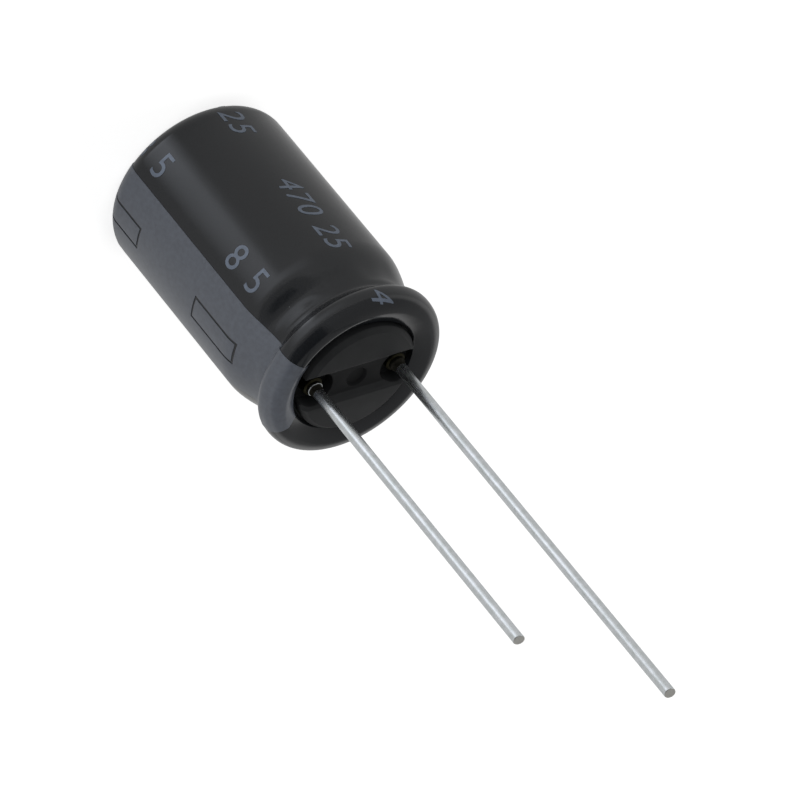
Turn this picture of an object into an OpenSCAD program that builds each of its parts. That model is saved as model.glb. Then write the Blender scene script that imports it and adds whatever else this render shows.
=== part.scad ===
// Radial aluminium electrolytic capacitor, 10 x 16 mm, with two wire leads at 5 mm pitch.
// It stands on its closed end. The origin is the centre of that end, +Z runs out along the
// leads, and +X points from the negative lead to the positive lead. Sizes are in millimetres.

/* [Can] */
// Outer diameter of the drawn aluminium can
can_d = 10; // [9.4:0.1:12.5]
// Thickness of the can's side wall
can_wall = 0.25; // [0.2:0.01:0.32]
// Thickness of the can's closed end
can_end_t = 0.3; // [0.22:0.01:0.5]
// Outside radius of the corner round the closed end
can_corner_r = 1.05; // [0.5:0.05:1.3]
// Height over the sleeve, from the closed end to the crest of the rolled rim
body_h = 16.2; // [14.5:0.05:25]

/* [Rolled neck and rim] */
// Depth of the groove that pinches the rubber seal
groove_depth = 0.65; // [0.4:0.01:0.8]
// Height of the wall's easy shoulder, from the straight side down into the groove
shoulder_h = 3.2; // [2:0.1:3.5]
// Height of the rolled rim, from the groove's ledge to the crest
rim_h = 1.26; // [1.1:0.02:1.5]
// Drop from the crest to the rim's widest point
belly_drop = 0.8; // [0.6:0.01:0.9]
// How far the rim's widest point stands outside the can's side
rim_swell = 0.03; // [0:0.01:0.1]
// Width over which the crown rounds in from the widest point
crown_w = 0.78; // [0.6:0.01:0.9]
// Width of the flange that is curled in over the rubber
curl_w = 0.6; // [0.4:0.01:0.7]
// How far the flange slopes down from the crest to its cut edge
curl_drop = 0.32; // [0.2:0.01:0.4]

/* [Pressure vent] */
// Length of each arm of the cross that is pressed in the closed end
vent_arm = 2.9; // [2:0.1:3.2]
// Width of the pressed groove at the surface
vent_w = 0.35; // [0.2:0.01:0.5]
// Depth of the pressed groove
vent_depth = 0.14; // [0.08:0.01:0.18]

/* [Sleeve] */
// Thickness of the shrunk plastic sleeve
sleeve_t = 0.15; // [0.08:0.01:0.2]
// Width of the flat ring that the sleeve laps over the closed end
end_lap = 0.5; // [0.3:0.05:0.9]

/* [Polarity print] */
// Angle of the can's side that the stripe covers
stripe_angle = 57.5; // [40:0.5:80]
// Thickness of the printed ink
ink_t = 0.03; // [0.02:0.005:0.05]
// Width of each minus mark
mark_w = 1.4; // [0.8:0.05:2]
// Length of each minus mark
mark_l = 3.85; // [2:0.05:5]
// Width of the bare line round each minus mark
mark_line = 0.14; // [0.08:0.01:0.25]
// Distance from one minus mark to the next along the can
mark_pitch = 9.1; // [6:0.1:12]
// Distance from the crest to the first minus mark
mark_start = 3.65; // [3:0.05:6]

/* [Rubber seal] */
// Height of the rubber, from its inner face to the ring under the curled flange
seal_h = 4.6; // [4.5:0.1:6]
// Chamfer round the seal's inner face
seal_chamfer = 0.3; // [0.1:0.05:0.4]
// Gap between the raised pads and the sleeve's mouth
pad_gap = 0.14; // [0.05:0.01:0.3]
// Height of the pads over the crest of the rim
pad_rise = 0.1; // [0.05:0.01:0.4]
// Chamfer round the outer edge of the pads
pad_chamfer = 0.15; // [0.05:0.01:0.2]
// Width of the channel between the pads, at its floor
channel_w = 1.65; // [1.4:0.05:1.9]
// Depth of the channel below the pads
channel_depth = 0.28; // [0.2:0.01:0.4]
// How far each side of the channel slopes out on its way up
channel_slope = 0.4; // [0.2:0.05:0.6]
// Radius of the pocket round each lead
pocket_r = 1.05; // [0.8:0.05:1.2]
// Depth of the lead pockets below the pads
pocket_depth = 0.95; // [0.8:0.05:1.5]
// Diameter of the round dimple in the middle of the channel
dimple_d = 1.24; // [0.8:0.02:1.36]
// Depth of the dimple
dimple_depth = 0.18; // [0.1:0.01:0.3]

/* [Leads] */
// Distance between the two leads
pitch = 5; // [4.6:0.1:5.2]
// Diameter of the tinned wire
wire_d = 0.6; // [0.5:0.05:0.7]
// Length of the positive lead above the crest of the rim
anode_len = 24.2; // [15:0.1:35]
// Length of the negative lead above the crest of the rim
cathode_len = 18.4; // [12:0.1:30]
// Chamfer on the cut end of each wire
tip_chamfer = 0.07; // [0.03:0.01:0.15]
// Height of the weld collar where the wire joins the boss
weld_h = 0.62; // [0.6:0.01:0.8]
// Diameter of the weld collar at its foot
weld_d = 0.86; // [0.75:0.01:0.95]

/* [Tabs] */
// Diameter of the round boss that passes through the rubber
boss_d = 1.1; // [1:0.05:1.4]
// Depth of the boss's end below the crest of the rim
boss_drop = 0.3; // [0:0.01:0.4]
// Chamfer round the boss's end
boss_chamfer = 0.08; // [0.02:0.01:0.1]
// Width of the flattened paddle
tab_w = 2; // [1.5:0.1:2.6]
// Thickness of the flattened paddle
tab_t = 0.25; // [0.15:0.01:0.35]
// Depth that the paddle reaches into the winding
tab_reach = 7.3; // [4:0.1:7.8]
// Clearance round the paddle in the winding
tab_clear = 0.05; // [0.02:0.01:0.1]

/* [Winding] */
// Gap between the closing tape and the can
winding_clear = 0.2; // [0.15:0.01:0.3]
// Gap between the winding and the rubber seal
head_gap = 0.6; // [0.5:0.05:1]
// Gap between the winding's edge and the curve of the can's closed corner
foot_gap = 0.05; // [0.02:0.01:0.2]
// Diameter of the hollow that the winding pin leaves
core_d = 1.5; // [1:0.1:2.5]
// Distance from one drawn turn to the next
turn_pitch = 0.42; // [0.4:0.02:0.8]
// Width of the gap between the paper edges
turn_gap = 0.14; // [0.1:0.01:0.2]
// How far the foil edge lies below the paper edge
foil_inset = 0.3; // [0.1:0.05:0.6]
// Thickness of the closing tape
tape_t = 0.05; // [0.03:0.01:0.08]
// Angle over which the tape's ends overlap
tape_lap = 30; // [10:5:60]
// Strip of the winding left bare above and below the tape
tape_margin = 0.3; // [0.1:0.05:1]

/* [Hidden] */
$fn = 96;
// Small overlap between fused shapes, and how far a cut runs past what it cuts
eps = 0.01;
past = 1;
arc_steps = 8;
shoulder_steps = 12;
turn_steps = 24;

// Radii of the can's outer surface
side_r = can_d / 2;
groove_r = side_r - groove_depth;
belly_r = side_r + rim_swell;
crown_r = belly_r - crown_w;
edge_r = crown_r - curl_w;
mouth_r = edge_r - sleeve_t;
lap_r = side_r - can_corner_r - end_lap;
inner_r = side_r - can_wall;
inner_corner_r = can_corner_r - can_wall;

// Levels along the can's outer surface
end_z = sleeve_t;
floor_z = end_z + can_end_t;
crest_z = body_h - sleeve_t;
ledge_z = crest_z - rim_h;
belly_z = crest_z - belly_drop;
edge_z = crest_z - curl_drop;
shoulder_z = ledge_z - shoulder_h;

// Levels and radii of the seal
ring_z = edge_z - can_wall;
seal_z = ring_z - seal_h;
pad_z = body_h + pad_rise;
pad_r = mouth_r - pad_gap;
channel_z = pad_z - channel_depth;
pocket_z = pad_z - pocket_depth;

// Levels and radii of the inner pieces
winding_z = seal_z - head_gap;
winding_r = inner_r - winding_clear - tape_t;
corner_reach = max(0, winding_r - (inner_r - inner_corner_r));
corner_lift = inner_corner_r - sqrt(pow(inner_corner_r, 2) - pow(corner_reach, 2));
foot_z = floor_z + corner_lift + foot_gap;
boss_z = body_h - boss_drop;
boss_foot = seal_z - eps;
paddle_z = winding_z - tab_reach;
neck_z = winding_z + tab_clear;

function ease(u) = u * u * (3 - 2 * u);
function back(points) = [for (i = [len(points) - 1 : -1 : 0]) points[i]];
function arc(r, z, rr, rz, a, b) =
    [for (i = [0 : arc_steps]) let (t = a + (b - a) * i / arc_steps) [r + rr * cos(t), z + rz * sin(t)]];
function bend(a, b, c) =
    [for (i = [1 : arc_steps]) let (u = i / arc_steps) a + 2 * u * (b - a) + u * u * (a - 2 * b + c)];

// The can's profile at a distance d outside its outer surface, as [radius, height] points.
// A negative d gives the inner surface, which the rubber is squeezed against.
function corner_line(d) =
    arc(side_r - can_corner_r, end_z + can_corner_r, can_corner_r + d, can_corner_r + d, -90, 0);
function shoulder_line(d) = [
    for (i = [0 : shoulder_steps])
        let (u = i / shoulder_steps)
        [side_r + d - groove_depth * ease(u), shoulder_z + (ledge_z - d - shoulder_z) * u]
];
function rim_line(d) = concat(
    arc(groove_r + d, belly_z, belly_r - groove_r, belly_z - ledge_z + d, -90, 0),
    arc(crown_r, belly_z, crown_w + d, crest_z + d - belly_z, 0, 90),
    [[edge_r, edge_z + d]]
);
function outside_line(d) = concat(corner_line(d), shoulder_line(d), rim_line(d));
function inside_line() = concat(
    arc(inner_r - inner_corner_r, floor_z + inner_corner_r, inner_corner_r, inner_corner_r, -90, 0),
    shoulder_line(-can_wall),
    rim_line(-can_wall)
);

// The shrunk sleeve: a tube that follows the can, laps over the closed end, hugs the rolled
// neck and turns in over the cut edge of the can at its mouth.
module sleeve() {
    turn_z = edge_z + sleeve_t - sleeve_t * curl_drop / curl_w;
    lip = bend([edge_r, edge_z + sleeve_t], [mouth_r, turn_z], [mouth_r, edge_z]);
    mouth = [[mouth_r, ring_z], [edge_r, ring_z]];
    color([0.09, 0.1, 0.11])
        rotate_extrude()
            polygon(concat(
                [[lap_r, end_z], [lap_r, 0]], outside_line(sleeve_t), lip, mouth, back(outside_line(0))
            ));
}

// One minus mark is a rectangle inside a bare line, cut through the ink
module mark_cut(z) {
    reach = belly_r + sleeve_t + past;
    translate([-reach, 0, z - mark_l])
        difference() {
            translate([0, -mark_w / 2, 0])
                cube([reach, mark_w, mark_l]);
            translate([-past, mark_line - mark_w / 2, mark_line])
                cube([reach + 2 * past, mark_w - 2 * mark_line, mark_l - 2 * mark_line]);
        }
}

// The polarity stripe: a layer of ink on the sleeve along the negative side, from the corner
// of the closed end over the rim to its mouth, with minus marks left out of it.
module polarity_stripe() {
    base = sleeve_t;
    under = outside_line(base);
    over = outside_line(base + ink_t);
    last = len(under) - 1;
    first = 2;
    color([0.42, 0.44, 0.48])
        difference() {
            rotate([0, 0, 180 - stripe_angle / 2])
                rotate_extrude(angle = stripe_angle)
                    polygon(concat(
                        [for (i = [first : last]) over[i]],
                        [for (i = [last : -1 : first]) under[i]]
                    ));
            for (z = [crest_z - mark_start : -mark_pitch : 0])
                mark_cut(z);
        }
}

// One arm of the pressed vent, a V groove along +X
module vent_arm_cut() {
    rotate([90, 0, 90])
        linear_extrude(vent_arm)
            polygon([
                [-vent_w / 2, end_z - eps],
                [vent_w / 2, end_z - eps],
                [vent_w / 8, end_z + vent_depth],
                [-vent_w / 8, end_z + vent_depth]
            ]);
}

// The drawn can: closed end with a cross-shaped vent, straight side, rolled groove and rim,
// and a flange curled in over the rubber.
module can() {
    color([0.78, 0.79, 0.8])
        difference() {
            rotate_extrude()
                polygon(concat([[0, floor_z], [0, end_z]], outside_line(0), back(inside_line())));
            for (a = [45 : 90 : 315])
                rotate([0, 0, a])
                    vent_arm_cut();
        }
}

// Both raised pads: a chamfered disc less the channel with its sloping sides
module pads() {
    slope_top = channel_w / 2 + channel_slope;
    difference() {
        rotate_extrude()
            polygon([
                [0, ring_z - eps],
                [pad_r, ring_z - eps],
                [pad_r, pad_z - pad_chamfer],
                [pad_r - pad_chamfer, pad_z],
                [0, pad_z]
            ]);
        rotate([90, 0, 90])
            linear_extrude(2 * side_r, center = true)
                polygon([
                    [-channel_w / 2, channel_z],
                    [channel_w / 2, channel_z],
                    [slope_top, pad_z],
                    [slope_top, pad_z + past],
                    [-slope_top, pad_z + past],
                    [-slope_top, pad_z]
                ]);
    }
}

// The pocket round one lead, open to the channel and out to the sleeve's mouth
module pocket_cut() {
    intersection() {
        union() {
            translate([pitch / 2, 0, pocket_z])
                cylinder(h = pocket_depth + past, r = pocket_r);
            translate([pitch / 2, -channel_w / 2, pocket_z])
                cube([side_r, channel_w, pocket_depth + past]);
        }
        cylinder(h = pad_z + past, r = mouth_r);
    }
}

// The moulded rubber seal: squeezed to the can's inner wall, with two D-shaped pads, a
// channel with a round dimple, and a hole that grips each boss.
module end_seal() {
    color([0.07, 0.07, 0.07])
        difference() {
            union() {
                rotate_extrude()
                    polygon(concat(
                        [[0, ring_z], [0, seal_z], [inner_r - seal_chamfer, seal_z],
                         [inner_r, seal_z + seal_chamfer]],
                        shoulder_line(-can_wall),
                        rim_line(-can_wall)
                    ));
                pads();
            }
            for (side = [0, 180])
                rotate([0, 0, side]) {
                    pocket_cut();
                    translate([pitch / 2, 0, seal_z - past])
                        cylinder(h = pad_z - seal_z + 2 * past, d = boss_d);
                }
            translate([0, 0, channel_z - dimple_depth])
                cylinder(h = dimple_depth, d1 = dimple_d - dimple_depth, d2 = dimple_d);
        }
}

// A flat spiral band, from the hollow core to just inside the winding's outer face
module spiral_gap() {
    turns = floor((winding_r - core_d / 2 - turn_gap) / turn_pitch) - 1;
    steps = turns * turn_steps;
    start_r = core_d / 2 + turn_pitch / 2;
    function at(i, w) =
        let (r = start_r + turn_pitch * i / turn_steps + w, a = 360 * i / turn_steps)
        [r * cos(a), r * sin(a)];
    polygon(concat(
        [for (i = [0 : steps]) at(i, 0)],
        [for (i = [steps : -1 : 0]) at(i, turn_gap)]
    ));
}

// The wound element: foils and paper rolled up together, wet with electrolyte. The paper
// stands past the foil, which leaves a spiral gap in both ends.
module winding() {
    color([0.8, 0.74, 0.6])
        difference() {
            translate([0, 0, foot_z])
                cylinder(h = winding_z - foot_z, r = winding_r);
            translate([0, 0, foot_z - past])
                cylinder(h = winding_z - foot_z + 2 * past, d = core_d);
            for (z = [foot_z - past, winding_z - foil_inset])
                translate([0, 0, z])
                    linear_extrude(foil_inset + past)
                        spiral_gap();
            for (x = [-pitch / 2, pitch / 2])
                translate([x - tab_t / 2 - tab_clear, -tab_w / 2 - tab_clear, paddle_z - tab_clear])
                    cube([tab_t + 2 * tab_clear, tab_w + 2 * tab_clear, tab_reach + past]);
        }
}

// The tape that closes the roll, one turn with its end lapped over
module closing_tape() {
    low = foot_z + tape_margin;
    high = winding_z - tape_margin;
    color([0.85, 0.6, 0.2])
        union() {
            rotate_extrude()
                translate([winding_r, low])
                    square([tape_t, high - low]);
            rotate([0, 0, 90])
                rotate_extrude(angle = tape_lap)
                    translate([winding_r + tape_t / 2, low])
                        square([tape_t, high - low]);
        }
}

// The wedge pressed away on one side of the neck, between the flat paddle and the round boss
module neck_cut() {
    rotate([90, 0, 0])
        linear_extrude(boss_d + past, center = true)
            polygon([
                [tab_t / 4, neck_z - past],
                [tab_t / 4, neck_z],
                [boss_d, boss_foot],
                [boss_d, neck_z - past]
            ]);
}

// An aluminium tab: a paddle flattened from round wire, stitched to the foil, and the round
// boss that is left at its end and passes through the rubber.
module tab(x) {
    boss_r = boss_d / 2;
    heel_r = boss_r - tab_t / 4;
    color([0.8, 0.8, 0.82])
        translate([x, 0, 0])
            union() {
                difference() {
                    rotate_extrude()
                        polygon([
                            [0, neck_z],
                            [boss_r, neck_z],
                            [boss_r, boss_z - boss_chamfer],
                            [boss_r - boss_chamfer, boss_z],
                            [0, boss_z]
                        ]);
                    for (side = [0, 180])
                        rotate([0, 0, side])
                            neck_cut();
                }
                rotate([90, 0, 90])
                    linear_extrude(tab_t, center = true)
                        polygon([
                            [-tab_w / 2, paddle_z], [tab_w / 2, paddle_z],
                            [tab_w / 2, neck_z], [heel_r, boss_foot],
                            [heel_r, boss_foot + tab_t], [-heel_r, boss_foot + tab_t],
                            [-heel_r, boss_foot], [-tab_w / 2, neck_z]
                        ]);
            }
}
module anode_tab() { tab(pitch / 2); }
module cathode_tab() { tab(-pitch / 2); }

// A tinned wire lead, butt-welded to the end of its boss
module lead(x, length) {
    tip_z = body_h + length;
    wire_r = wire_d / 2;
    color([0.72, 0.73, 0.75])
        translate([x, 0, 0])
            rotate_extrude()
                polygon([
                    [0, boss_z],
                    [weld_d / 2, boss_z],
                    [wire_r, boss_z + weld_h],
                    [wire_r, tip_z - tip_chamfer],
                    [wire_r - tip_chamfer, tip_z],
                    [0, tip_z]
                ]);
}
module anode_lead() { lead(pitch / 2, anode_len); }
module cathode_lead() { lead(-pitch / 2, cathode_len); }

sleeve();
polarity_stripe();
can();
end_seal();
winding();
closing_tape();
anode_tab();
cathode_tab();
anode_lead();
cathode_lead();
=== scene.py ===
from math import atan2, cos, degrees, exp, hypot, radians, sin

import bmesh
import bpy
from mathutils import Matrix, Vector


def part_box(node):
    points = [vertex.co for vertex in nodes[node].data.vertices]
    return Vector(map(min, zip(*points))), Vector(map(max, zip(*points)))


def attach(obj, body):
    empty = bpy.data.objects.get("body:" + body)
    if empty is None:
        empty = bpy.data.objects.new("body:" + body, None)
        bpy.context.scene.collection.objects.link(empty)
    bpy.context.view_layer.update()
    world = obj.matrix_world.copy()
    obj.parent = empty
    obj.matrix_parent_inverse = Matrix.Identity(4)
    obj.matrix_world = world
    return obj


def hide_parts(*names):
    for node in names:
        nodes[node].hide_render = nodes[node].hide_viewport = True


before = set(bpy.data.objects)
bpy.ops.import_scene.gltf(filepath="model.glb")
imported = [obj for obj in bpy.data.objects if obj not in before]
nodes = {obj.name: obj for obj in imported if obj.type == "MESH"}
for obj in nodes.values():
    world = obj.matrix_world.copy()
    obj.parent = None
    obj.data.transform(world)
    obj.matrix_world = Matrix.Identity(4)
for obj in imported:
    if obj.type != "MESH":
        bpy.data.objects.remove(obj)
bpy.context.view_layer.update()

# Aluminium tabs
# Each tab is drawn aluminium wire, flattened to a paddle where it is stitched to the foil.
# The round boss left at its end fills the hole in the rubber, and its end shows in a pocket.
MM = 0.001


def linear(code):
    """The linear colour of an sRGB hex value."""
    parts = [int(code[i:i + 2], 16) / 255 for i in (1, 3, 5)]
    return [p / 12.92 if p <= 0.04045 else ((p + 0.055) / 1.055) ** 2.4 for p in parts] + [1.0]


def new_finish(name):
    """An empty node material."""
    finish = bpy.data.materials.new(name)
    finish.use_nodes = True
    finish.node_tree.nodes.clear()
    return finish


def add(finish, kind, inputs=None, **settings):
    """Adds one node, with its settings, and its inputs as values or as the sockets that feed them."""
    tree = finish.node_tree
    node = tree.nodes.new(kind)
    for name, value in settings.items():
        setattr(node, name, value)
    for name, value in (inputs or {}).items():
        if isinstance(value, bpy.types.NodeSocket):
            tree.links.new(value, node.inputs[name])
        else:
            node.inputs[name].default_value = value
    return node


# Formed aluminium: etched and oxidised in the bath, so it is dull and slightly warm
formed_aluminium = new_finish("formed_aluminium")
place = add(formed_aluminium, "ShaderNodeTexCoord").outputs["Object"]
pitted = add(formed_aluminium, "ShaderNodeTexNoise", {"Vector": place, "Scale": 1 / (0.12 * MM), "Detail": 3})
tone = add(formed_aluminium, "ShaderNodeValToRGB", {"Fac": pitted.outputs["Fac"]})
tone.color_ramp.elements[0].color = linear("#26251c")
tone.color_ramp.elements[1].color = linear("#454231")
dents = add(
    formed_aluminium, "ShaderNodeBump",
    {"Height": pitted.outputs["Fac"], "Strength": 0.5, "Distance": 0.02 * MM}
)
skin = add(
    formed_aluminium, "ShaderNodeBsdfPrincipled",
    {"Base Color": tone.outputs["Color"], "Metallic": 1.0, "Roughness": 0.5, "Normal": dents.outputs["Normal"]}
)
add(formed_aluminium, "ShaderNodeOutputMaterial", {"Surface": skin.outputs["BSDF"]})
for name in ("anode_tab", "cathode_tab"):
    nodes[name].data.materials[0] = formed_aluminium


# Tinned wire leads
# Copper-clad steel wire, hot tinned and drawn straight. Each is butt-welded to the end of its
# boss, which leaves a small collar of melted metal, and its free end is sheared off.
WIRE_R = 0.3
WIRE_STEPS = 48
COLLAR_R = 0.43
COLLAR_H = 0.62
COLLAR_TAPER = 0.02
COLLAR_LEDGE_H = 0.16
DARK_WELD_H = 0.45
TIP_ROUND_W = 0.03
TIP_ROUND_H = 0.08
SHEAR_DROP = 0.12
SHEAR_H = 0.5
SHEAR_SPREAD = 0.05


def spin_profile(profile, steps, start=0, sweep=360):
    """A bmesh spun about Z from [radius, height] points, in millimetres."""
    mesh = bmesh.new()
    turn = Matrix.Rotation(radians(start), 3, "Z")
    points = [mesh.verts.new(turn @ Vector((r, 0, z))) for r, z in profile]
    edges = [mesh.edges.new(pair) for pair in zip(points, points[1:])]
    bmesh.ops.spin(
        mesh, geom=points + edges, cent=(0, 0, 0), axis=(0, 0, 1), angle=radians(sweep),
        steps=steps, use_merge=(sweep == 360)
    )
    bmesh.ops.remove_doubles(mesh, verts=mesh.verts, dist=0.0002)
    bmesh.ops.recalc_face_normals(mesh, faces=mesh.faces)
    return mesh


def make_piece(mesh, name, finishes, sharp=35):
    """Turns a bmesh in millimetres into a piece in metres that rides with the part."""
    bmesh.ops.scale(mesh, vec=(MM, MM, MM), verts=mesh.verts)
    for edge in mesh.edges:
        edge.smooth = len(edge.link_faces) == 2 and edge.calc_face_angle() < radians(sharp)
    for face in mesh.faces:
        face.smooth = True
    data = bpy.data.meshes.new(name)
    mesh.to_mesh(data)
    mesh.free()
    for finish in finishes:
        data.materials.append(finish)
    piece = bpy.data.objects.new(name, data)
    bpy.context.scene.collection.objects.link(piece)
    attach(piece, "root")
    return piece


# Tinned wire: soft tin wiped smooth, so it is bright with short dull streaks along the draw
tinned_wire = new_finish("tinned_wire")
place = add(tinned_wire, "ShaderNodeTexCoord").outputs["Object"]
drawn = add(tinned_wire, "ShaderNodeMapping", {"Vector": place, "Scale": (1, 1, 0.12)})
streaks = add(
    tinned_wire, "ShaderNodeTexNoise",
    {"Vector": drawn.outputs["Vector"], "Scale": 1 / (0.07 * MM), "Detail": 4, "Roughness": 0.6}
)
blotches = add(tinned_wire, "ShaderNodeTexNoise", {"Vector": place, "Scale": 1 / (0.35 * MM), "Detail": 2})
tone = add(tinned_wire, "ShaderNodeValToRGB", {"Fac": blotches.outputs["Fac"]})
tone.color_ramp.elements[0].position = 0.3
tone.color_ramp.elements[0].color = linear("#d3d8d8")
tone.color_ramp.elements[1].position = 0.7
tone.color_ramp.elements[1].color = linear("#e6e9ec")
dulled = add(
    tinned_wire, "ShaderNodeMapRange",
    {"Value": streaks.outputs["Fac"], "From Min": 0.3, "From Max": 0.7, "To Min": 0.22, "To Max": 0.32}
)
drawn_lines = add(
    tinned_wire, "ShaderNodeBump",
    {"Height": streaks.outputs["Fac"], "Strength": 0.2, "Distance": 0.01 * MM}
)
skin = add(
    tinned_wire, "ShaderNodeBsdfPrincipled",
    {"Base Color": tone.outputs["Color"], "Metallic": 1.0, "Roughness": dulled.outputs["Result"],
     "Normal": drawn_lines.outputs["Normal"]}
)
add(tinned_wire, "ShaderNodeOutputMaterial", {"Surface": skin.outputs["BSDF"]})

# Sheared steel: the bare core of the wire where it was cut, dull and a little brown
sheared_steel = new_finish("sheared_steel")
place = add(sheared_steel, "ShaderNodeTexCoord").outputs["Object"]
torn = add(sheared_steel, "ShaderNodeTexNoise", {"Vector": place, "Scale": 1 / (0.06 * MM), "Detail": 3})
tone = add(sheared_steel, "ShaderNodeValToRGB", {"Fac": torn.outputs["Fac"]})
tone.color_ramp.elements[0].color = linear("#cfcec8")
tone.color_ramp.elements[1].color = linear("#f2f1ec")
ridges = add(
    sheared_steel, "ShaderNodeBump",
    {"Height": torn.outputs["Fac"], "Strength": 0.6, "Distance": 0.02 * MM}
)
skin = add(
    sheared_steel, "ShaderNodeBsdfPrincipled",
    {"Base Color": tone.outputs["Color"], "Metallic": 1.0, "Roughness": 0.5, "Normal": ridges.outputs["Normal"]}
)
add(sheared_steel, "ShaderNodeOutputMaterial", {"Surface": skin.outputs["BSDF"]})

# Dark weld: the metal at the foot of the wire, dull and dark
dark_weld = new_finish("dark_weld")
place = add(dark_weld, "ShaderNodeTexCoord").outputs["Object"]
weld_mottle = add(dark_weld, "ShaderNodeTexNoise", {"Vector": place, "Scale": 1 / (0.08 * MM), "Detail": 3})
tone = add(dark_weld, "ShaderNodeValToRGB", {"Fac": weld_mottle.outputs["Fac"]})
tone.color_ramp.elements[0].color = linear("#1c1b18")
tone.color_ramp.elements[1].color = linear("#4a4840")
skin = add(
    dark_weld, "ShaderNodeBsdfPrincipled",
    {"Base Color": tone.outputs["Color"], "Metallic": 1.0, "Roughness": 0.55}
)
add(dark_weld, "ShaderNodeOutputMaterial", {"Surface": skin.outputs["BSDF"]})

for name, shear_turn, flash_w in (("anode_lead", 150, 0.01), ("cathode_lead", 165, 0.025)):
    low, high = (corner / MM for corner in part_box(name))
    foot, tip = low.z, high.z
    axis = Vector(((low.x + high.x) / 2, 0, 0))
    foot_r = COLLAR_R - COLLAR_TAPER
    ledge_r = foot_r - flash_w
    profile = [(0, foot), (foot_r, foot), (COLLAR_R, foot + 0.03), (COLLAR_R - 0.01, foot + 0.13)]
    profile += [(foot_r, foot + 0.15), (ledge_r, foot + COLLAR_LEDGE_H)]
    profile += [
        (
            WIRE_R + (ledge_r - WIRE_R) * (1 - step / 8) ** 2.5,
            foot + COLLAR_LEDGE_H + (COLLAR_H - COLLAR_LEDGE_H) * step / 8
        )
        for step in range(1, 9)
    ]
    profile += [(WIRE_R, tip - SHEAR_H * (1 - step / 6)) for step in range(6)]
    profile += [
        (WIRE_R - TIP_ROUND_W * (1 - cos(radians(a))), tip - TIP_ROUND_H + TIP_ROUND_H * sin(radians(a)))
        for a in (30, 60, 90)
    ]
    profile += [(WIRE_R * 0.6, tip), (0, tip)]
    wire = spin_profile(profile, WIRE_STEPS)
    across = Vector((cos(radians(shear_turn)), sin(radians(shear_turn)), 0))
    for vert in wire.verts:
        reach = (vert.co.z - (tip - SHEAR_H)) / SHEAR_H
        if reach > 0:
            side = vert.co.dot(across)
            vert.co += across * side * SHEAR_SPREAD * reach ** 2
            vert.co.z -= SHEAR_DROP * reach ** 3 * (side / WIRE_R + 1) / 2
    # The foot of each wire is coloured dark: on the anode the whole collar up to the dark weld's height, on the
    # cathode all of it but a thin ring at the ledge
    for face in wire.faces:
        spot = face.calc_center_median()
        if spot.z > tip - SHEAR_H:
            face.material_index = int(face.normal.z > 0.8)
        elif spot.z < foot + 0.12 or (flash_w < 0.02 or spot.z > foot + 0.165) and spot.z < foot + DARK_WELD_H:
            face.material_index = 2
    bmesh.ops.translate(wire, vec=axis, verts=wire.verts)
    piece = make_piece(wire, name + "_wire", (tinned_wire, sheared_steel, dark_weld))
    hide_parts(name)


# Winding and closing tape
# Two etched foils and two papers, rolled up and soaked in electrolyte, held shut by one turn
# of tape. They are sealed in the can.
# Wet paper: kraft paper soaked in electrolyte
wet_paper = new_finish("wet_paper")
place = add(wet_paper, "ShaderNodeTexCoord").outputs["Object"]
fibres = add(wet_paper, "ShaderNodeTexNoise", {"Vector": place, "Scale": 1 / (0.15 * MM), "Detail": 4})
tone = add(wet_paper, "ShaderNodeValToRGB", {"Fac": fibres.outputs["Fac"]})
tone.color_ramp.elements[0].color = linear("#a08c62")
tone.color_ramp.elements[1].color = linear("#d2c39a")
skin = add(wet_paper, "ShaderNodeBsdfPrincipled", {"Base Color": tone.outputs["Color"], "Roughness": 0.45})
add(wet_paper, "ShaderNodeOutputMaterial", {"Surface": skin.outputs["BSDF"]})
nodes["winding"].data.materials[0] = wet_paper

# Amber tape: smooth amber film, a little hazy
amber_tape = new_finish("amber_tape")
place = add(amber_tape, "ShaderNodeTexCoord").outputs["Object"]
film_haze = add(amber_tape, "ShaderNodeTexNoise", {"Vector": place, "Scale": 1 / (0.8 * MM), "Detail": 2})
tone = add(amber_tape, "ShaderNodeValToRGB", {"Fac": film_haze.outputs["Fac"]})
tone.color_ramp.elements[0].color = linear("#a8661c")
tone.color_ramp.elements[1].color = linear("#c98a34")
skin = add(amber_tape, "ShaderNodeBsdfPrincipled", {"Base Color": tone.outputs["Color"], "Roughness": 0.25})
add(amber_tape, "ShaderNodeOutputMaterial", {"Surface": skin.outputs["BSDF"]})
nodes["closing_tape"].data.materials[0] = amber_tape


# Rubber seal
# Butyl rubber, pressed in a mould. Two D-shaped pads stand in the sleeve's mouth with a
# channel between them, a dimple from the ejector pin, and a pocket round each lead.
SEAL_EDGE_R = 0.09
SEAL_EDGE_ANGLE = 20
PAD_R = 3.36
PAD_CHAMFER = 0.15
PAD_ROUND = 0.1
CHANNEL_W = 1.65
seal_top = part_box("end_seal")[1].z / MM

# Moulded rubber: black and matt, with fine pores and a faint bloom
moulded_rubber = new_finish("moulded_rubber")
place = add(moulded_rubber, "ShaderNodeTexCoord").outputs["Object"]
grain = add(moulded_rubber, "ShaderNodeTexNoise", {"Vector": place, "Scale": 1 / (0.09 * MM), "Detail": 3})
bloom = add(moulded_rubber, "ShaderNodeTexNoise", {"Vector": place, "Scale": 1 / (1.1 * MM), "Detail": 3})
tone = add(moulded_rubber, "ShaderNodeValToRGB", {"Fac": bloom.outputs["Fac"]})
tone.color_ramp.elements[0].position = 0.35
tone.color_ramp.elements[0].color = linear("#212223")
tone.color_ramp.elements[1].position = 0.7
tone.color_ramp.elements[1].color = linear("#272829")
pores = add(
    moulded_rubber, "ShaderNodeBump",
    {"Height": grain.outputs["Fac"], "Strength": 0.35, "Distance": 0.01 * MM}
)
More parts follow.
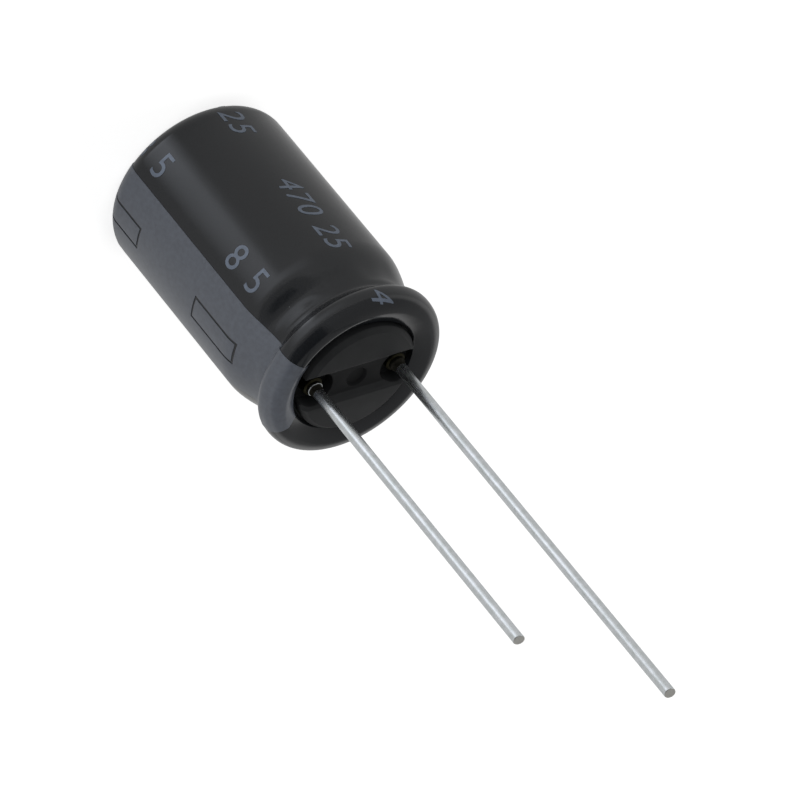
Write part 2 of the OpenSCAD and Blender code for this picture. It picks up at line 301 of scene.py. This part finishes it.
# Painted shade: the channel between the pads is coloured darker to stand for the shade there, and it is left a
# little rougher than the pads' tops
parts = add(moulded_rubber, "ShaderNodeSeparateXYZ", {"Vector": place})
aside = add(moulded_rubber, "ShaderNodeMath", {0: parts.outputs["Y"]}, operation="ABSOLUTE")
channel_shade_mask = add(
    moulded_rubber, "ShaderNodeMapRange",
    {"Value": aside.outputs["Value"], "From Min": (CHANNEL_W / 2 - 0.02) * MM,
     "From Max": (CHANNEL_W / 2 + 0.04) * MM}
)
painted_channel_shade = add(moulded_rubber, "ShaderNodeMix", {"Factor": channel_shade_mask.outputs["Result"]}, data_type="RGBA")
# Painted shade: the darker colour of the channel between the pads
painted_channel_shade.inputs["A"].default_value = linear("#0f1011")
moulded_rubber.node_tree.links.new(tone.outputs["Color"], painted_channel_shade.inputs["B"])
smoothed = add(
    moulded_rubber, "ShaderNodeMapRange", {"Value": channel_shade_mask.outputs["Result"], "To Min": 0.72, "To Max": 0.6}
)
skin = add(
    moulded_rubber, "ShaderNodeBsdfPrincipled",
    {"Base Color": painted_channel_shade.outputs["Result"], "Roughness": smoothed.outputs["Result"], "Specular IOR Level": 0.33,
     "Normal": pores.outputs["Normal"]}
)
add(moulded_rubber, "ShaderNodeOutputMaterial", {"Surface": skin.outputs["BSDF"]})

seal = bmesh.new()
seal.from_mesh(nodes["end_seal"].data)
bmesh.ops.scale(seal, vec=(1 / MM, 1 / MM, 1 / MM), verts=seal.verts)
bmesh.ops.remove_doubles(seal, verts=seal.verts, dist=0.0005)
bmesh.ops.dissolve_limit(seal, angle_limit=radians(1.5), verts=seal.verts, edges=seal.edges)
for vert in seal.verts:
    r, drop = hypot(vert.co.x, vert.co.y), seal_top - vert.co.z
    if drop < 0.01 and abs(r - PAD_R + PAD_CHAMFER) < 0.02:
        vert.co.x *= 1 - PAD_ROUND / r
        vert.co.y *= 1 - PAD_ROUND / r
    elif abs(drop - PAD_CHAMFER) < 0.02 and abs(r - PAD_R) < 0.02:
        vert.co.z -= PAD_ROUND
moulded_edges = [
    edge for edge in seal.edges
    if len(edge.link_faces) == 2 and edge.calc_face_angle() > radians(SEAL_EDGE_ANGLE)
    and min(vert.co.z for vert in edge.verts) > seal_top - 1.2
]
bmesh.ops.bevel(
    seal, geom=moulded_edges, offset=SEAL_EDGE_R, offset_type="OFFSET", segments=3, profile=0.5,
    affect="EDGES", material=-1, clamp_overlap=True
)
piece = make_piece(seal, "moulded_seal", (moulded_rubber,), sharp=40)
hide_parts("end_seal")


# Can
# Deep-drawn aluminium, with a cross pressed in its closed end as a vent. Only that end shows,
# inside the ring of sleeve that laps over it.
# Drawn aluminium: satin, with the mill's fine lines
drawn_aluminium = new_finish("drawn_aluminium")
place = add(drawn_aluminium, "ShaderNodeTexCoord").outputs["Object"]
rolled = add(drawn_aluminium, "ShaderNodeMapping", {"Vector": place, "Scale": (1, 0.06, 1)})
mill_lines = add(
    drawn_aluminium, "ShaderNodeTexNoise",
    {"Vector": rolled.outputs["Vector"], "Scale": 1 / (0.05 * MM), "Detail": 4}
)
brushed = add(
    drawn_aluminium, "ShaderNodeBump",
    {"Height": mill_lines.outputs["Fac"], "Strength": 0.25, "Distance": 0.01 * MM}
)
dulled = add(
    drawn_aluminium, "ShaderNodeMapRange",
    {"Value": mill_lines.outputs["Fac"], "From Min": 0.3, "From Max": 0.7, "To Min": 0.26, "To Max": 0.4}
)
skin = add(
    drawn_aluminium, "ShaderNodeBsdfPrincipled",
    {"Base Color": linear("#dfe0e1"), "Metallic": 1.0, "Roughness": dulled.outputs["Result"],
     "Normal": brushed.outputs["Normal"]}
)
add(drawn_aluminium, "ShaderNodeOutputMaterial", {"Surface": skin.outputs["BSDF"]})
nodes["can"].data.materials[0] = drawn_aluminium


# Sleeve
# A tube of black film, shrunk on with hot air. It laps over the corner of the closed end, hugs
# the rolled neck and rim, and turns in over the can's cut edge at the mouth.
SLEEVE_T = 0.15
CAN_R = 5.0
CORNER_R = 1.05
END_LAP = 0.5
GROOVE_DEPTH = 0.65
SHOULDER_H = 3.2
RIM_H = 1.26
BELLY_DROP = 0.8
RIM_SWELL = 0.03
CROWN_W = 0.78
CURL_W = 0.6
CURL_DROP = 0.32
CAN_WALL = 0.25
ROUND_STEPS = 192
ARC_STEPS = 16
SHOULDER_STEPS = 32
CREASE_R = 0.22
CROWN_FULLER = 0.05
RIDGE, RIDGE_Z, RIDGE_HALF = 0.055, 14.03, 0.2
VALLEY, VALLEY_Z, VALLEY_HALF = 0.125, 13.27, 0.62
BRIDGE_DROP = 0.44
BRIDGE_H = 0.6
BRIDGE_REACH = 0.445
BRIDGE_SOFT = 0.02
MOUTH_FADE = 0.15

# Round the sleeve, each with its centre and half width in degrees and its size
FOLDS = ((132, 16, 1), (66, 14, 0.6), (176, 12, 0.4))
BRIDGES = ((112, 40, 1),)
MOUTH_MOVES = ((134, 12, 0.05), (172, 15, 0.04), (67, 30, -0.09))
MOUTH_LIFTS = ((67, 30, 0.04), (134, 12, -0.03))

body_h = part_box("sleeve")[1].z / MM
crest_z = body_h - SLEEVE_T
ledge_z = crest_z - RIM_H
belly_z = crest_z - BELLY_DROP
edge_z = crest_z - CURL_DROP
shoulder_z = ledge_z - SHOULDER_H
groove_r = CAN_R - GROOVE_DEPTH
belly_r = CAN_R + RIM_SWELL
crown_r = belly_r - CROWN_W
edge_r = crown_r - CURL_W
mouth_r = edge_r - SLEEVE_T
lap_r = CAN_R - CORNER_R - END_LAP


def arc(r, z, rr, rz, start, end):
    """Points along a quarter of an ellipse, from one angle to another."""
    turns = [radians(start + (end - start) * i / ARC_STEPS) for i in range(ARC_STEPS + 1)]
    return [(r + rr * cos(t), z + rz * sin(t)) for t in turns]


def bend(start, way, end):
    """Points along a soft bend, with its corner at the second point."""
    steps = [i / ARC_STEPS for i in range(1, ARC_STEPS + 1)]
    return [
        tuple((1 - u) ** 2 * a + 2 * u * (1 - u) * b + u * u * c for a, b, c in zip(start, way, end))
        for u in steps
    ]


def outside_line(d, crease=0):
    """The can's outside at a distance d, from the closed end to the cut edge of the rim."""
    corner = arc(CAN_R - CORNER_R, SLEEVE_T + CORNER_R, CORNER_R + d, CORNER_R + d, -90, 0)
    shoulder = []
    for i in range(SHOULDER_STEPS + 1):
        u = i / SHOULDER_STEPS
        drop = GROOVE_DEPTH * u * u * (3 - 2 * u)
        shoulder.append((CAN_R + d - drop, shoulder_z + (ledge_z - d - shoulder_z) * u))
    ledge = arc(groove_r + d, belly_z, belly_r - groove_r, belly_z - ledge_z + d, -90, 0)
    crown = arc(crown_r, belly_z, CROWN_W + d, crest_z + d - belly_z, 0, 90)
    if crease:
        shoulder = [p for p in shoulder if p[1] < ledge_z - d - crease]
        ledge = [p for p in ledge if p[0] > groove_r + d + crease]
        ledge = bend(shoulder[-1], (groove_r + d, ledge_z - d), ledge[0]) + ledge[1:]
    return corner + shoulder + ledge[not crease:] + crown[1:] + [(edge_r, edge_z + d)]


# Shrunk film: glossy black plastic with a faint cool cast, a little uneven where it shrank
shrunk_film = new_finish("shrunk_film")
place = add(shrunk_film, "ShaderNodeTexCoord").outputs["Object"]
waves = add(shrunk_film, "ShaderNodeTexNoise", {"Vector": place, "Scale": 1 / (1.6 * MM), "Detail": 2})
specks = add(shrunk_film, "ShaderNodeTexNoise", {"Vector": place, "Scale": 1 / (0.12 * MM), "Detail": 3})
uneven = add(
    shrunk_film, "ShaderNodeBump",
    {"Height": waves.outputs["Fac"], "Strength": 0.3, "Distance": 0.04 * MM}
)
pebbled = add(
    shrunk_film, "ShaderNodeBump",
    {"Height": specks.outputs["Fac"], "Strength": 0.12, "Distance": 0.01 * MM, "Normal": uneven.outputs["Normal"]}
)
hazy = add(
    shrunk_film, "ShaderNodeMapRange",
    {"Value": specks.outputs["Fac"], "From Min": 0.3, "From Max": 0.7, "To Min": 0.13, "To Max": 0.2}
)
skin = add(
    shrunk_film, "ShaderNodeBsdfPrincipled",
    {"Base Color": linear("#1b1d20"), "Roughness": hazy.outputs["Result"], "IOR": 1.5,
     "Normal": pebbled.outputs["Normal"]}
)
add(shrunk_film, "ShaderNodeOutputMaterial", {"Surface": skin.outputs["BSDF"]})


def bumps(turn, table):
    """The sum of flat-topped bumps round the sleeve, each with its centre, half width and size."""
    return sum(size * exp(-((turn - centre) / half) ** 4) for centre, half, size in table)


def shrink(vert):
    """Moves a point of the film's skin to where the film puckered as it shrank."""
    turn = degrees(atan2(vert.co.y, vert.co.x)) % 360
    r, z = hypot(vert.co.x, vert.co.y), vert.co.z
    if z > belly_z and r > crown_r:
        x = (r - crown_r) / (CROWN_W + SLEEVE_T)
        y = (z - belly_z) / (BELLY_DROP + SLEEVE_T)
        fuller = CROWN_FULLER * (2 * x * y) ** 2
        wider = min(fuller * (r - crown_r), max(belly_r + SLEEVE_T - r, 0))
        vert.co.z += fuller * (z - belly_z)
        vert.co.x *= 1 + wider / r
        vert.co.y *= 1 + wider / r
    ridge = RIDGE * exp(-((z - RIDGE_Z) / RIDGE_HALF) ** 2)
    valley = VALLEY * exp(-((z - VALLEY_Z) / VALLEY_HALF) ** 2)
    move = bumps(turn, FOLDS) * (ridge - valley)
    climb = (z - ledge_z + SLEEVE_T + BRIDGE_DROP) / BRIDGE_H
    if 0 < climb < 1:
        over = groove_r + SLEEVE_T + 0.02 + BRIDGE_REACH * climb ** 1.6 - r
        over = (over + hypot(over, BRIDGE_SOFT)) / 2 * (4 * climb * (1 - climb)) ** 0.5
        move += bumps(turn, BRIDGES) * over
    if z > belly_z and r < crown_r:
        inward = min(max((edge_r + MOUTH_FADE - r) / (edge_r + MOUTH_FADE - mouth_r), 0), 1)
        move += inward * bumps(turn, MOUTH_MOVES)
        vert.co.z += bumps(turn, MOUTH_LIFTS) * min((crown_r - r) / (crown_r - edge_r), 1)
    vert.co.x *= 1 + move / r
    vert.co.y *= 1 + move / r


way = (mouth_r, edge_z + SLEEVE_T - SLEEVE_T * CURL_DROP / CURL_W)
lip = bend((edge_r, edge_z + SLEEVE_T), way, (mouth_r, edge_z))
mouth = [(mouth_r, edge_z - CAN_WALL), (edge_r, edge_z - CAN_WALL)]
sleeve = spin_profile([(lap_r, 0)] + outside_line(SLEEVE_T, CREASE_R) + lip, ROUND_STEPS)
for vert in sleeve.verts:
    shrink(vert)
lining = spin_profile(
    lip[-1:] + mouth + outside_line(0)[::-1] + [(lap_r, SLEEVE_T), (lap_r, 0)], ROUND_STEPS
)
for vert in lining.verts:
    if abs(vert.co.z - edge_z) < 0.0001 and hypot(vert.co.x, vert.co.y) < mouth_r + 0.0001:
        shrink(vert)
data = bpy.data.meshes.new("lining")
lining.to_mesh(data)
lining.free()
sleeve.from_mesh(data)
bpy.data.meshes.remove(data)
bmesh.ops.remove_doubles(sleeve, verts=sleeve.verts, dist=0.0005)
bmesh.ops.recalc_face_normals(sleeve, faces=sleeve.faces)
piece = make_piece(sleeve, "film_sleeve", (shrunk_film,), sharp=50)
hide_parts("sleeve")


# Polarity stripe
# Grey ink, rolled on to the flat film before it shrank. It marks the negative side, with the
# film left bare in a thin line round each minus mark.
INK_T = 0.03
STRIPE_ANGLE = 57.5
MARK_W = 1.4
MARK_L = 3.85
MARK_LINE = 0.14
MARK_PITCH = 9.1
MARK_START = 3.65

# Stripe ink: smooth grey ink with a soft gloss, a little uneven in its cover
stripe_ink = new_finish("stripe_ink")
place = add(stripe_ink, "ShaderNodeTexCoord").outputs["Object"]
cover = add(stripe_ink, "ShaderNodeTexNoise", {"Vector": place, "Scale": 1 / (0.25 * MM), "Detail": 4})
tone = add(stripe_ink, "ShaderNodeValToRGB", {"Fac": cover.outputs["Fac"]})
tone.color_ramp.elements[0].position = 0.3
tone.color_ramp.elements[0].color = linear("#575b63")
tone.color_ramp.elements[1].position = 0.7
tone.color_ramp.elements[1].color = linear("#5f646d")
skin = add(
    stripe_ink, "ShaderNodeBsdfPrincipled",
    {"Base Color": tone.outputs["Color"], "Roughness": 0.28, "IOR": 1.5}
)
add(stripe_ink, "ShaderNodeOutputMaterial", {"Surface": skin.outputs["BSDF"]})

stripe = spin_profile(
    outside_line(SLEEVE_T + INK_T, CREASE_R)[4:], round(ROUND_STEPS * STRIPE_ANGLE / 360),
    180 - STRIPE_ANGLE / 2, STRIPE_ANGLE
)
marks = []
top = crest_z - MARK_START
while top > 0:
    marks.append((max(top - MARK_L, -1), top))
    top -= MARK_PITCH
sides = (-MARK_W / 2, MARK_LINE - MARK_W / 2, MARK_W / 2 - MARK_LINE, MARK_W / 2)
cuts = [((0, y, 0), (0, 1, 0)) for y in sides]
for low, high in marks:
    cuts += [((0, 0, z), (0, 0, 1)) for z in (low, low + MARK_LINE, high - MARK_LINE, high)]
for point, normal in cuts:
    bmesh.ops.bisect_plane(
        stripe, geom=stripe.verts[:] + stripe.edges[:] + stripe.faces[:], dist=0.0005,
        plane_co=point, plane_no=normal
    )


def in_mark_line(face):
    """Whether a face of the stripe lies in the bare line round a minus mark."""
    spot = face.calc_center_median()
    for low, high in marks:
        in_mark = abs(spot.y) < MARK_W / 2 and low < spot.z < high
        in_field = abs(spot.y) < MARK_W / 2 - MARK_LINE and low + MARK_LINE < spot.z < high - MARK_LINE
        if in_mark and not in_field:
            return True
    return False


bmesh.ops.delete(stripe, geom=[face for face in stripe.faces if in_mark_line(face)], context="FACES")
for vert in stripe.verts:
    shrink(vert)
bmesh.ops.solidify(stripe, geom=stripe.faces[:], thickness=INK_T)
piece = make_piece(stripe, "ink_stripe", (stripe_ink,))
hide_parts("polarity_stripe")


# Printed numbers
# The same ink, in two rows along the sleeve that repeat round the print roller's turn. The
# numbers are plain ones.
NUMBER_T = 0.01
DIGIT_SHARE = 0.73
CUT_X = 0.25
CUT_Y = 0.2
VALUE_TURN = 83.8
HEAT_TURN = 136.1
VALUE_STARTS = (0.94, 9.64, 18.74)
HEAT_STARTS = (7.32, 16.42)


def on_film(way):
    """The point of the film, and its normal, at a height that runs on round the crown of the rim."""
    line = [p for p in outside_line(SLEEVE_T, CREASE_R) if p[0] >= crown_r]
    height = line[0][1]
    for (r0, z0), (r1, z1) in zip(line, line[1:]):
        length = hypot(r1 - r0, z1 - z0)
        step = length if z0 >= belly_z - 0.001 else z1 - z0
        if step > 0 and height <= way <= height + step:
            share = (way - height) / step
            return r0 + (r1 - r0) * share, z0 + (z1 - z0) * share, (z1 - z0) / length, (r0 - r1) / length
        height += step
    return line[-1] + (0, 1)


def print_row(name, words, height, spacing, shear, angle, start_z):
    """Prints a row of numbers along the sleeve, from a height above the crest towards the leads."""
    curve = bpy.data.curves.new(name, "FONT")
    curve.body = words
    curve.size = height / DIGIT_SHARE
    curve.space_character = spacing
    curve.shear = shear
    curve.extrude = NUMBER_T
    curve.resolution_u = 4
    text = bpy.data.objects.new(name, curve)
    flat = bmesh.new()
    flat.from_mesh(text.to_mesh())
    bpy.data.objects.remove(text)
    bmesh.ops.remove_doubles(flat, verts=flat.verts, dist=0.0005)
    left = min(vert.co.x for vert in flat.verts)
    bmesh.ops.translate(flat, vec=(-left, -height / 2, 0), verts=flat.verts)
    length = max(vert.co.x for vert in flat.verts)
    rows = int(height / (2 * CUT_Y)) + 1
    grid = [((CUT_X * i, 0, 0), (1, 0, 0)) for i in range(int(length / CUT_X) + 1)]
    grid += [((0, CUT_Y * i, 0), (0, 1, 0)) for i in range(-rows, rows + 1)]
    for point, normal in grid:
        bmesh.ops.bisect_plane(
            flat, geom=flat.verts[:] + flat.edges[:] + flat.faces[:], dist=0.0001,
            plane_co=point, plane_no=normal
        )
    gone = [vert for vert in flat.verts if not 0.3 < vert.co.x + start_z < body_h + 0.05]
    bmesh.ops.delete(flat, geom=gone, context="VERTS")
    for vert in flat.verts:
        r, z, lean, rise = on_film(vert.co.x + start_z)
        r += lean * (NUMBER_T / 2 + vert.co.z)
        z += rise * (NUMBER_T / 2 + vert.co.z)
        turn = radians(angle) - vert.co.y / CAN_R
        vert.co = (r * cos(turn), r * sin(turn), z)
        shrink(vert)
    bmesh.ops.recalc_face_normals(flat, faces=flat.faces)
    return make_piece(flat, name, (number_ink,))


# Number ink: the stripe's grey, a little paler where the roller left more of it
number_ink = stripe_ink.copy()
number_ink.name = "number_ink"
for node in number_ink.node_tree.nodes:
    if node.type == "VALTORGB":
        node.color_ramp.elements[0].color = linear("#5f6876")
        node.color_ramp.elements[1].color = linear("#6b7585")

for row, start in enumerate(VALUE_STARTS, 1):
    print_row(f"value_numbers_{row}", "470 25", 1.3, 1.12, 0.25, VALUE_TURN, body_h - start)
for row, start in enumerate(HEAT_STARTS, 1):
    print_row(f"heat_numbers_{row}", "85", 1.45, 1.9, 0, HEAT_TURN, body_h - start)


# Studio
# A pale floor that the camera sees as white, a dim room and three soft lamps. A strip of light on
# the floor, the paper that sweeps up behind and a black flag over the camera are seen only in the
# gloss, as in the photographer's room.
FLOOR_HALF = 3000
FLOOR_GAP = 0.02
STRIP_GLOW = 1.05
STRIP_TURNS = (
    (104, 0, 0), (112, 0, 0.25), (119, 0, 0.4), (121, 0.2, 0.45), (123.5, 0.55, 0.6), (127.5, 1, 0.8),
    (131.5, 0.95, 0.75), (137, 0.7, 0.55), (140.5, 0.4, 0.3), (144.5, 0, 0)
)
STRIP_REACHES = (
    (0.45, 1.3), (2, 1.25), (4, 1.07), (6, 0.95), (11, 0.95), (13, 0.82), (17, 0.8), (30, 0), (70, 0)
)
FLAG_AWAY = 500
FLAG_CORNERS = ((-42, -350), (450, -350), (450, 500), (-42, 500))
SWEEP_AWAY = 600
SWEEP_LEVELS = ((0, 0.7), (8, 0.9), (18, 0.8), (24, 0.45), (27, 0.3))
CAMERA_AT = Vector((-144.23, 189.229, 170.311)) * MM
CAMERA_AIM = Vector((1.41032, -0.30436, 18.01885)) * MM
CAMERA_ROLL = -140.524
LENS = 255.66


def outward(azimuth, elevation):
    """The direction from the part towards an azimuth and an elevation."""
    flat, up = radians(azimuth), radians(elevation)
    return Vector((cos(up) * cos(flat), cos(up) * sin(flat), sin(up)))


def set_up(mesh, name, finish, only_gloss):
    """Turns a bmesh in millimetres into a studio object that is not part of the model."""
    bmesh.ops.scale(mesh, vec=(MM, MM, MM), verts=mesh.verts)
    data = bpy.data.meshes.new(name)
    mesh.to_mesh(data)
    mesh.free()
    data.materials.append(finish)
    prop = bpy.data.objects.new(name, data)
    bpy.context.scene.collection.objects.link(prop)
    if only_gloss:
        prop.visible_camera = False
        prop.visible_diffuse = False
        prop.visible_transmission = False
        prop.visible_shadow = False


# Floor paper: white to the camera, and it keeps the shadow and a dim image in the gloss
floor_paper = new_finish("floor_paper")
rays = add(floor_paper, "ShaderNodeLightPath")
place = add(floor_paper, "ShaderNodeTexCoord").outputs["Object"]
away = add(floor_paper, "ShaderNodeVectorMath", {0: place}, operation="LENGTH")
paler = add(
    floor_paper, "ShaderNodeMapRange",
    {"Value": away.outputs["Value"], "From Min": 60 * MM, "From Max": 300 * MM, "To Min": 0.75, "To Max": 1.0}
)
matte = add(floor_paper, "ShaderNodeBsdfDiffuse", {"Color": linear("#e6e6e6")})
seen = add(
    floor_paper, "ShaderNodeMath", {0: rays.outputs["Is Camera Ray"], 1: paler.outputs["Result"]},
    operation="MULTIPLY"
)
mirrored = add(
    floor_paper, "ShaderNodeMath",
    {0: rays.outputs["Is Glossy Ray"], 1: rays.outputs["Is Transmission Ray"]}, operation="MAXIMUM"
)
strength = add(
    floor_paper, "ShaderNodeMath", {0: mirrored.outputs["Value"], 1: 0.24, 2: seen.outputs["Value"]},
    operation="MULTIPLY_ADD"
)
glow = add(floor_paper, "ShaderNodeEmission", {"Strength": strength.outputs["Value"]})
both = add(floor_paper, "ShaderNodeAddShader", {0: matte.outputs["BSDF"], 1: glow.outputs["Emission"]})
add(floor_paper, "ShaderNodeOutputMaterial", {"Surface": both.outputs["Shader"]})
flat = bmesh.new()
bmesh.ops.create_grid(flat, x_segments=1, y_segments=1, size=FLOOR_HALF)
bmesh.ops.translate(flat, vec=(0, 0, -FLOOR_GAP), verts=flat.verts)
set_up(flat, "floor", floor_paper, False)

# Strip light: a clear card that glows by its own levels
strip_light = new_finish("strip_light")
level = add(strip_light, "ShaderNodeAttribute", attribute_name="level")
glow = add(strip_light, "ShaderNodeEmission", {"Color": linear("#eef4ff"), "Strength": level.outputs["Fac"]})
clear = add(strip_light, "ShaderNodeBsdfTransparent")
both = add(strip_light, "ShaderNodeAddShader", {0: clear.outputs["BSDF"], 1: glow.outputs["Emission"]})
add(strip_light, "ShaderNodeOutputMaterial", {"Surface": both.outputs["Shader"]})
strip_light.cycles.emission_sampling = "NONE"

# Swept paper: the lit backdrop, brightest a little above the floor
swept_paper = new_finish("swept_paper")
level = add(swept_paper, "ShaderNodeAttribute", attribute_name="level")
glow = add(swept_paper, "ShaderNodeEmission", {"Strength": level.outputs["Fac"]})
add(swept_paper, "ShaderNodeOutputMaterial", {"Surface": glow.outputs["Emission"]})
swept_paper.cycles.emission_sampling = "NONE"


def lit_card(columns, name, finish):
    """A card of light from columns of points, each with how much it glows there."""
    card = bmesh.new()
    levels = card.verts.layers.float.new("level")
    rows = []
    for column in columns:
        rows.append([])
        for spot, level in column:
            vert = card.verts.new(spot)
            vert[levels] = level
            rows[-1].append(vert)
    for left, right in zip(rows, rows[1:]):
        for i in range(len(left) - 1):
            card.faces.new((left[i], left[i + 1], right[i + 1], right[i]))
    set_up(card, name, finish, True)


columns = []
for turn, near_level, far_level in STRIP_TURNS:
    column = []
    for reach, reach_level in STRIP_REACHES:
        spot = outward(turn, 0) * 5.15 + outward(126.7 + 2.024 * (turn - 127), 0) * reach
        fade = 1 - 0.8 * min(reach / 17, 1) if turn < 127 else 1
        level = near_level * reach_level * fade if reach < 20 else far_level
        column.append((spot + Vector((0, 0, 0.05)), STRIP_GLOW * level))
    columns.append(column)
lit_card(columns, "floor_strip", strip_light)
columns = [
    [(outward(turn, rise) * SWEEP_AWAY / cos(radians(rise)), level) for rise, level in SWEEP_LEVELS]
    for turn in range(202, 413, 10)
]
lit_card(columns, "paper_sweep", swept_paper)

# Black flock: dark cloth that takes some of the light out of the gloss
black_flock = new_finish("black_flock")
matte = add(black_flock, "ShaderNodeBsdfDiffuse", {"Color": linear("#4c4c4c")})
add(black_flock, "ShaderNodeOutputMaterial", {"Surface": matte.outputs["BSDF"]})
flag = bmesh.new()
corners = [outward(127, 50) * FLAG_AWAY + outward(217, 0) * x + outward(127, 140) * y for x, y in FLAG_CORNERS]
flag.faces.new([flag.verts.new(corner) for corner in corners])
set_up(flag, "black_flag", black_flock, True)

world = bpy.data.worlds.new("room")
world.use_nodes = True
world.node_tree.nodes.clear()
bpy.context.scene.world = world
rays = add(world, "ShaderNodeLightPath")
seen = add(world, "ShaderNodeMapRange", {"Value": rays.outputs["Is Camera Ray"], "To Min": 0.1, "To Max": 1.0})
strength = add(
    world, "ShaderNodeMath", {0: rays.outputs["Is Glossy Ray"], 1: 0.26, 2: seen.outputs["Result"]},
    operation="MULTIPLY_ADD"
)
sky = add(world, "ShaderNodeBackground", {"Color": (1, 1, 1, 1), "Strength": strength.outputs["Value"]})
add(world, "ShaderNodeOutputWorld", {"Surface": sky.outputs["Background"]})

centre = Vector((0, 0, 15)) * MM
for name, azimuth, elevation, distance, size, power in (
    ("key_lamp", 100, 20, 0.6, 0.5, 1.5),
    ("fill_lamp", 185, 12, 0.6, 0.5, 1.8),
    ("back_lamp", 330, 35, 0.6, 0.5, 1.0),
):
    lamp = bpy.data.lights.new(name, "AREA")
    lamp.size = size
    lamp.energy = power
    holder = bpy.data.objects.new(name, lamp)
    bpy.context.scene.collection.objects.link(holder)
    out = outward(azimuth, elevation)
    holder.location = centre + out * distance
    holder.rotation_euler = (-out).to_track_quat("-Z", "Y").to_euler()
    holder.visible_glossy = False

camera = bpy.data.objects.new("camera", bpy.data.cameras.new("camera"))
bpy.context.scene.collection.objects.link(camera)
camera.data.sensor_width = 36
camera.data.lens = LENS
camera.data.clip_start = 0.01
camera.data.clip_end = 10
camera.location = CAMERA_AT
upright = (CAMERA_AIM - CAMERA_AT).to_track_quat("-Z", "Y").to_matrix()
camera.rotation_euler = (upright @ Matrix.Rotation(radians(-CAMERA_ROLL), 3, "Z")).to_euler()
bpy.context.scene.camera = camera
bpy.context.scene.view_settings.view_transform = "Standard"
